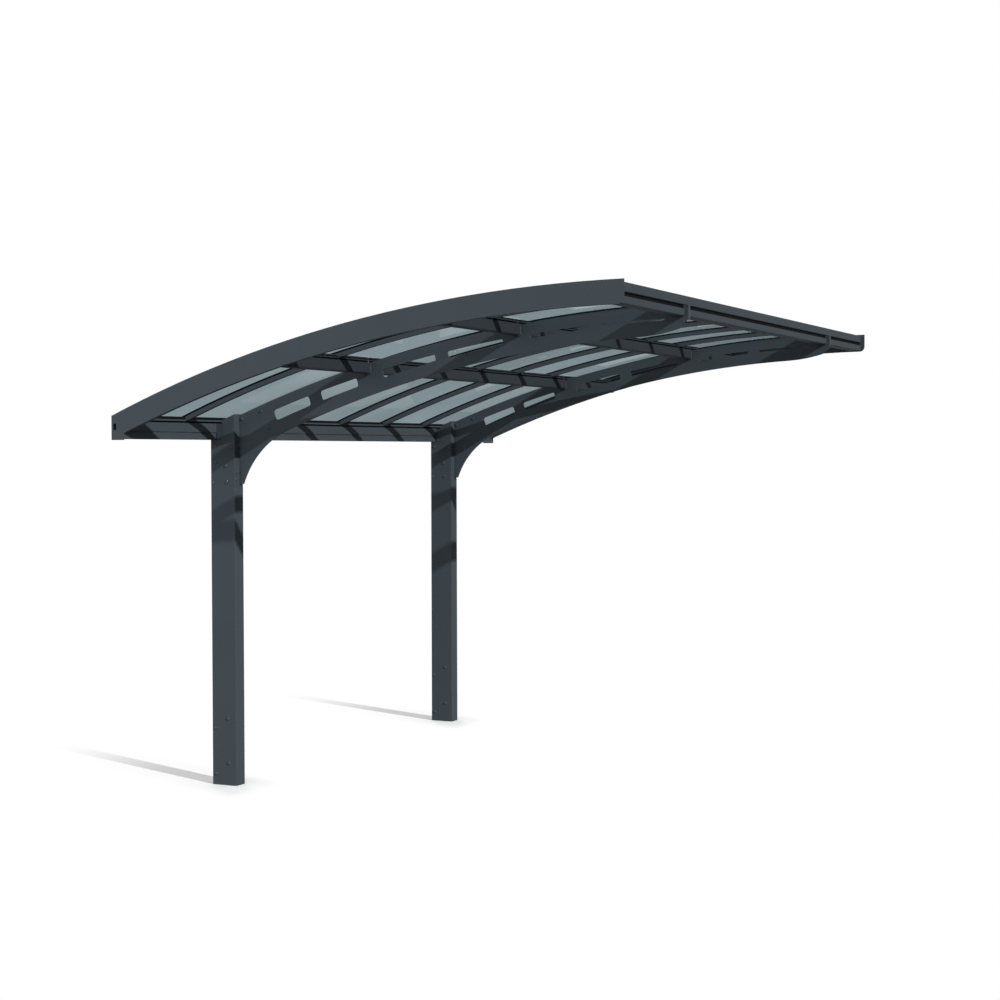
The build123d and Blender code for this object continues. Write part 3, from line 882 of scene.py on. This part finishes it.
@dataclass
class Gaskets:
    """Rubber under the sheets and under the bars, and black strips of painted shade under the gutter rail's rib
    and in the eave beam's groove. Sizes are in metres.
    """

    sheet_foot: float = 0.030
    bar_foot: float = 0.056
    roof_drop: float = 0.0563
    bar_gap: float = 0.0136
    pad_half: float = 0.0126
    slack: float = 0.0004
    rail_setback: float = 0.020
    rail_wall: float = 0.003
    rim_flange: float = 0.030
    gutter_rib_foot: float = 0.011
    gutter_rib_top: float = 0.021
    rib_shade_thick: float = 0.008
    purlin_rib_top: float = 0.015
    purlin_strip: float = 0.0085
    purlin_half: float = 0.025
    groove_drop: float = 0.050
    groove: float = 0.022
    groove_shade_set_back: float = 0.014
    groove_shade_thick: float = 0.006
    hook_room: float = 0.006
    front_setback: float = 0.0012

    def bar_middles(self) -> list[float]:
        """Return the middle of every bar along the gutter."""
        boxes = [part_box(bar) for bar in BARS]
        return [(low.y + high.y) / 2 for low, high in boxes]

    def bays(self, y0: float, y1: float) -> list[tuple[float, float]]:
        """Return the stretches between the bars.

        Args:
            y0: Where the first one starts.
            y1: Where the last one ends.

        Returns:
            The start and end of each.
        """
        found, start = [], y0
        for middle in self.bar_middles():
            if not y0 < middle < y1:
                continue
            found.append((start, middle - self.bar_gap))
            start = middle + self.bar_gap
        found.append((start, y1))
        return found

    def gutter_strip(self, finish: bpy.types.Material) -> None:
        """Make the strip between the gutter's rail and the sheets, a black strip of painted shade in the recess
        under the rail's rib, and the pads beside it.

        Args:
            finish: The rubber.
        """
        gutter_low, gutter_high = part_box("gutter")
        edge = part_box("near_gutter_end")[1].x
        back = edge - self.rail_setback
        top = ARCH.height(back - self.rail_wall, self.bar_foot) - 0.0003
        foot = top + self.gutter_rib_top + self.slack
        front = edge - self.front_setback
        outline = [(back + self.slack, foot), (front - 0.002, foot), (front, foot + 0.002),
                   (front, ARCH.height(front, self.sheet_foot) - self.slack),
                   (back + self.slack, ARCH.height(back, self.sheet_foot) - self.slack)]
        rib_foot = top + self.gutter_rib_foot - self.slack
        # A black strip at the back of the recess under the rail's rib: painted shade for that recess.
        rib_shade_outline = [(back + self.slack, top + self.slack), (back + self.rib_shade_thick, top + self.slack),
                   (back + self.rib_shade_thick, rib_foot - 0.002), (back + self.rib_shade_thick - 0.002, rib_foot),
                   (back + self.slack, rib_foot)]
        data = ([], [])
        for y0, y1 in self.bays(gutter_low.y + self.rim_flange + self.slack,
                                gutter_high.y - self.rim_flange - self.slack):
            prism(outline, y0, y1, data)
            prism(rib_shade_outline, y0, y1, data)
        hand_in(plain_piece("gutter_gasket_and_rib_shade", data, finish))
        pads = ([], [])
        pad = self.wedge(back - self.rail_wall + 0.001, edge - 0.001, top)
        for middle in self.bar_middles():
            prism(pad, middle - self.pad_half, middle + self.pad_half, pads)
        hand_in(plain_piece("gutter_pads", pads, finish))

    def wedge(self, x0: float, x1: float, foot: float) -> list[tuple]:
        """Return the section of a pad that fills the gap under a bar.

        Args:
            x0: Where the pad starts along the run.
            x1: Where it ends.
            foot: The height of what it lies on.

        Returns:
            The section's corners.
        """
        middle = (x0 + x1) / 2
        bottom = foot + self.slack / 2
        tops = [(x, max(bottom + 0.0004, ARCH.height(x, self.bar_foot) - self.slack)) for x in (x1, middle, x0)]
        return [(x0, bottom), (x1 - 0.001, bottom), (x1, bottom + 0.001)] + tops

    def purlin_strips(self, finish: bpy.types.Material) -> None:
        """Make the strip on each purlin's rib, and the pads under the bars.

        Args:
            finish: The rubber.
        """
        for purlin in Frame.purlins:
            pads = ([], [])
            for length in Frame.purlin_lengths:
                low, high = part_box(f"{purlin}_{length}")
                edge = high.x
                centre = edge - self.purlin_half
                top = ARCH.height(centre - self.purlin_half, self.roof_drop)
                foot = top + self.purlin_rib_top + self.slack / 2
                back, front = edge - self.rail_setback + self.slack, edge - self.front_setback
                crown = foot + self.purlin_strip
                outline = [(back, foot), (front - 0.001, foot), (front, foot + 0.002), (front, crown - 0.003),
                           (front - 0.003, crown), (back, crown + 0.001)]
                data = ([], [])
                for y0, y1 in self.bays(low.y + self.slack, high.y - self.slack):
                    if y1 - y0 > self.bar_gap:
                        prism(outline, y0, y1, data)
                hand_in(plain_piece(f"{purlin}_{length}_gasket", data, finish))
                pad = self.wedge(centre - self.purlin_half + 0.004, edge - 0.001, top)
                for middle in self.bar_middles():
                    if low.y + self.pad_half < middle < high.y - self.pad_half:
                        prism(pad, middle - self.pad_half, middle + self.pad_half, pads)
            hand_in(plain_piece(f"{purlin}_pads", pads, finish))

    def groove_shade_strip(self, finish: bpy.types.Material) -> None:
        """Make a black ribbed strip in the eave beam's groove as painted shade for the groove's dark inside,
        open where the girders hook in.

        Args:
            finish: The rubber.
        """
        low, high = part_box("eave_beam")
        front = high.x - self.groove_shade_set_back
        top = high.z - self.groove_drop - self.slack
        foot = high.z - self.groove_drop - self.groove + self.slack
        middle = (top + foot) / 2
        outline = [(front - self.groove_shade_thick, foot), (front, foot), (front, middle - 0.003),
                   (front - 0.002, middle), (front, middle + 0.003), (front, top),
                   (front - self.groove_shade_thick, top)]
        data, start = ([], []), low.y + 0.001
        for side in SIDES:
            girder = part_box(f"{side}_girder")
            prism(outline, start, girder[0].y - self.hook_room, data)
            start = girder[1].y + self.hook_room
        prism(outline, start, high.y - 0.001, data)
        hand_in(plain_piece("groove_shade_strip", data, finish))

    def build(self) -> None:
        """Make all gaskets and pads, and the strips of painted shade."""
        finish = SEAL_AND_SHADE_BLACK.material()
        self.gutter_strip(finish)
        self.purlin_strips(finish)
        self.groove_shade_strip(finish)


@dataclass
class Studio:
    """Pale floor, plain light and the camera. Lengths are in metres."""

    floor_reach: float = 60.0
    floor_dim: float = 0.06
    shade_tone: float = 0.72
    shade_glow: float = 0.10
    strip_core: float = 0.16
    strip_edge: float = 0.34
    fade_from: float = 0.5
    fade_to: float = 2.0
    world_fill: float = 0.55
    sun_way: tuple = (-1.0, 0.408, -0.5455)
    sun_power: float = 3.5
    sun_angle: float = 0.6
    front_power: float = 320.0
    front_size: float = 5.0
    front_place: tuple = (-1.0, -8.5, 2.5)
    front_aim: tuple = (0.6, 1.5, 1.4)
    back_power: float = 560.0
    back_size: float = 7.0
    back_place: tuple = (-8.0, 11.0, 8.0)
    back_aim: tuple = (1.0, 1.5, 1.6)
    camera_place: tuple = (6.3896, -9.7155, 2.0685)
    yaw: float = 0.43497
    pitch: float = -0.02571
    roll: float = -0.00249
    focal_pixels: float = 1845.73
    picture_pixels: float = 1000.0
    sensor: float = 36.0
    seen_kinds: tuple = ("Is Camera Ray", "Is Glossy Ray", "Is Transmission Ray")

    def build(self) -> None:
        """Make the floor, the light and the camera."""
        self.make_floor()
        self.make_world()
        self.make_lamps()
        self.make_camera()
        bpy.context.scene.view_settings.view_transform = "Standard"

    def make_floor(self) -> None:
        """Make a pale floor that shows white, and takes shadow only in a strip behind each post."""
        reach = self.floor_reach
        mesh = bpy.data.meshes.new("floor")
        corners = [(-reach, -reach, 0.0), (reach, -reach, 0.0), (reach, reach, 0.0), (-reach, reach, 0.0)]
        mesh.from_pydata(corners, [], [(0, 1, 2, 3)])
        floor = bpy.data.objects.new("floor", mesh)
        bpy.context.scene.collection.objects.link(floor)
        material, graph = new_material("pale_floor")
        white = graph.node("ShaderNodeEmission", None, {0: (1.0, 1.0, 1.0, 1.0), 1: 1.0})
        matt = graph.node("ShaderNodeBsdfDiffuse", None, {0: (*(self.shade_tone,) * 3, 1.0)})
        glow = graph.node("ShaderNodeEmission", None, {0: (1.0, 1.0, 1.0, 1.0), 1: self.shade_glow})
        shaded = graph.node("ShaderNodeAddShader", None, {0: matt.outputs[0], 1: glow.outputs[0]})
        shown = graph.node("ShaderNodeMixShader", None, {
            0: self.shade_share(graph), 1: white.outputs[0], 2: shaded.outputs[0]})
        dim = graph.node("ShaderNodeBsdfDiffuse", None, {0: (*(self.floor_dim,) * 3, 1.0)})
        both = graph.node("ShaderNodeMixShader", None, {
            0: graph.ray(*self.seen_kinds, straight=True), 1: dim.outputs[0], 2: shown.outputs[0]})
        graph.node("ShaderNodeOutputMaterial", None, {0: both.outputs[0]})
        mesh.materials.append(material)

    def shade_share(self, graph: Graph) -> Value:
        """Return where the floor takes the posts' shadows: 1 beside the posts, 0 elsewhere.

        Args:
            graph: The floor's graph.

        Returns:
            The share, from 0 to 1.
        """
        parts = graph.node("ShaderNodeSeparateXYZ", None, {0: graph.place()})
        x, y = Value(graph, parts.outputs[0]), Value(graph, parts.outputs[1])
        across = y - x * (self.sun_way[1] / self.sun_way[0])
        strips = []
        for side in SIDES:
            low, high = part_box(f"{side}_post")
            off = (across - (low.y + high.y) / 2).size()
            strips.append(1.0 - off.ramp(self.strip_core, self.strip_edge))
        near, far = strips
        behind = x * -1.0
        fade = 1.0 - behind.ramp(self.fade_from, self.fade_to)
        return near.at_least(far) * fade * behind.ramp(-self.strip_edge, -self.strip_core)

    def make_world(self) -> None:
        """Make a world that shows white and lights the object evenly."""
        world = bpy.data.worlds.new("studio")
        world.use_nodes = True
        bpy.context.scene.world = world
        graph = Graph(world.node_tree)
        seen = graph.ray(*self.seen_kinds, straight=True)
        strength = seen * (1.0 - self.world_fill) + self.world_fill
        background = graph.node("ShaderNodeBackground", None, {0: (1.0, 1.0, 1.0, 1.0), 1: strength})
        graph.node("ShaderNodeOutputWorld", None, {0: background.outputs[0]})

    def make_lamps(self) -> None:
        """Make the key light and the soft lights from the front and the back."""
        sun = bpy.data.lights.new("key", "SUN")
        sun.energy = self.sun_power
        sun.angle = math.radians(self.sun_angle)
        key = bpy.data.objects.new("key", sun)
        key.rotation_euler = Vector(self.sun_way).to_track_quat("-Z", "Y").to_euler()
        self.hang(key)
        self.soft_lamp("front", self.front_power, self.front_size, self.front_place, self.front_aim)
        self.soft_lamp("back", self.back_power, self.back_size, self.back_place, self.back_aim)

    def soft_lamp(self, name: str, power: float, size: float, place: tuple, aim: tuple) -> None:
        """Make a large soft lamp.

        Args:
            name: Its name.
            power: Its power, in watts.
            size: Its side.
            place: Where it stands.
            aim: The point that it faces.
        """
        soft = bpy.data.lights.new(name, "AREA")
        soft.shape = "SQUARE"
        soft.size = size
        soft.energy = power
        lamp = bpy.data.objects.new(name, soft)
        lamp.location = place
        lamp.rotation_euler = (Vector(aim) - Vector(place)).to_track_quat("-Z", "Y").to_euler()
        self.hang(lamp)

    def hang(self, lamp: bpy.types.Object) -> None:
        """Add a lamp to the scene, lighting through the sheets only by its shadow rays.

        Args:
            lamp: The lamp.
        """
        lamp.visible_camera = False
        lamp.visible_transmission = False
        bpy.context.scene.collection.objects.link(lamp)

    def make_camera(self) -> None:
        """Make the camera at the photograph's viewing angle."""
        level = math.cos(self.pitch)
        ahead = Vector((-math.sin(self.yaw) * level, math.cos(self.yaw) * level, math.sin(self.pitch)))
        across = Vector((math.cos(self.yaw), math.sin(self.yaw), 0.0))
        above = across.cross(ahead)
        right = across * math.cos(self.roll) + above * math.sin(self.roll)
        up = above * math.cos(self.roll) - across * math.sin(self.roll)
        lens = bpy.data.cameras.new("camera")
        lens.sensor_width = self.sensor
        lens.lens = self.focal_pixels * self.sensor / self.picture_pixels
        lens.clip_end = 4.0 * self.floor_reach
        camera = bpy.data.objects.new("camera", lens)
        turn = Matrix((right, up, -ahead)).transposed().to_4x4()
        camera.matrix_world = Matrix.Translation(self.camera_place) @ turn
        bpy.context.scene.collection.objects.link(camera)
        bpy.context.scene.camera = camera


def main() -> None:
    """Dress the frame, add the pieces that CAD leaves out and set up the studio."""
    logging.basicConfig(level=logging.INFO, format="%(message)s")
    Frame().dress()
    RoofSheets().dress()
    Feet().dress()
    Screws().build()
    Seals().build()
    Gaskets().build()
    Studio().build()


if __name__ == "__main__":
    main()
